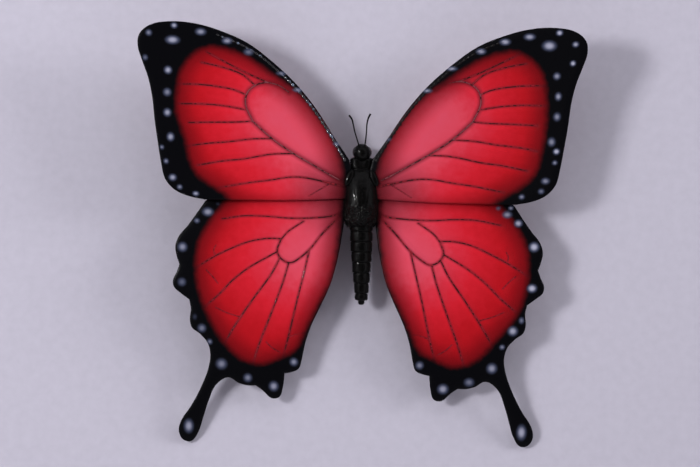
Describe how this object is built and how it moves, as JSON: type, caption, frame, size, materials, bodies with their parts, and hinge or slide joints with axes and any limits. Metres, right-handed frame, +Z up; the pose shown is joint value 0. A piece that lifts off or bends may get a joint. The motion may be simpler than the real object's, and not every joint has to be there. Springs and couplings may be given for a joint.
{
  "type": "butterfly",
  "caption": "Swallowtail butterfly with spread red and black wings, tailed hind wings, black body, legs and antennae, standing level.",
  "frame": {"origin": "on the surface that the feet stand on, under the middle of the bounding box", "axes": "+Z up, +Y towards the head, +X towards the insect's right wings"},
  "size_m": [0.0998, 0.0934, 0.0138],
  "materials": {
    "wings": "red field fading to black borders with pale blue-white spots, dark veins, satin",
    "body": "black, glossy, finely bumpy",
    "eyes": "black, glossy",
    "legs": "black, satin"
  },
  "bodies": {
    "root": {"head": "body", "eye_left": "eyes", "eye_right": "eyes", "antenna_left": "body", "antenna_right": "body", "proboscis": "body", "thorax": "body", "abdomen": "body", "forewing_left": "wings", "forewing_right": "wings", "hindwing_left": "wings", "hindwing_right": "wings", "fore_leg_left": "legs", "fore_leg_right": "legs", "mid_leg_left": "legs", "mid_leg_right": "legs", "hind_leg_left": "legs", "hind_leg_right": "legs"}
  },
  "joints": []
}
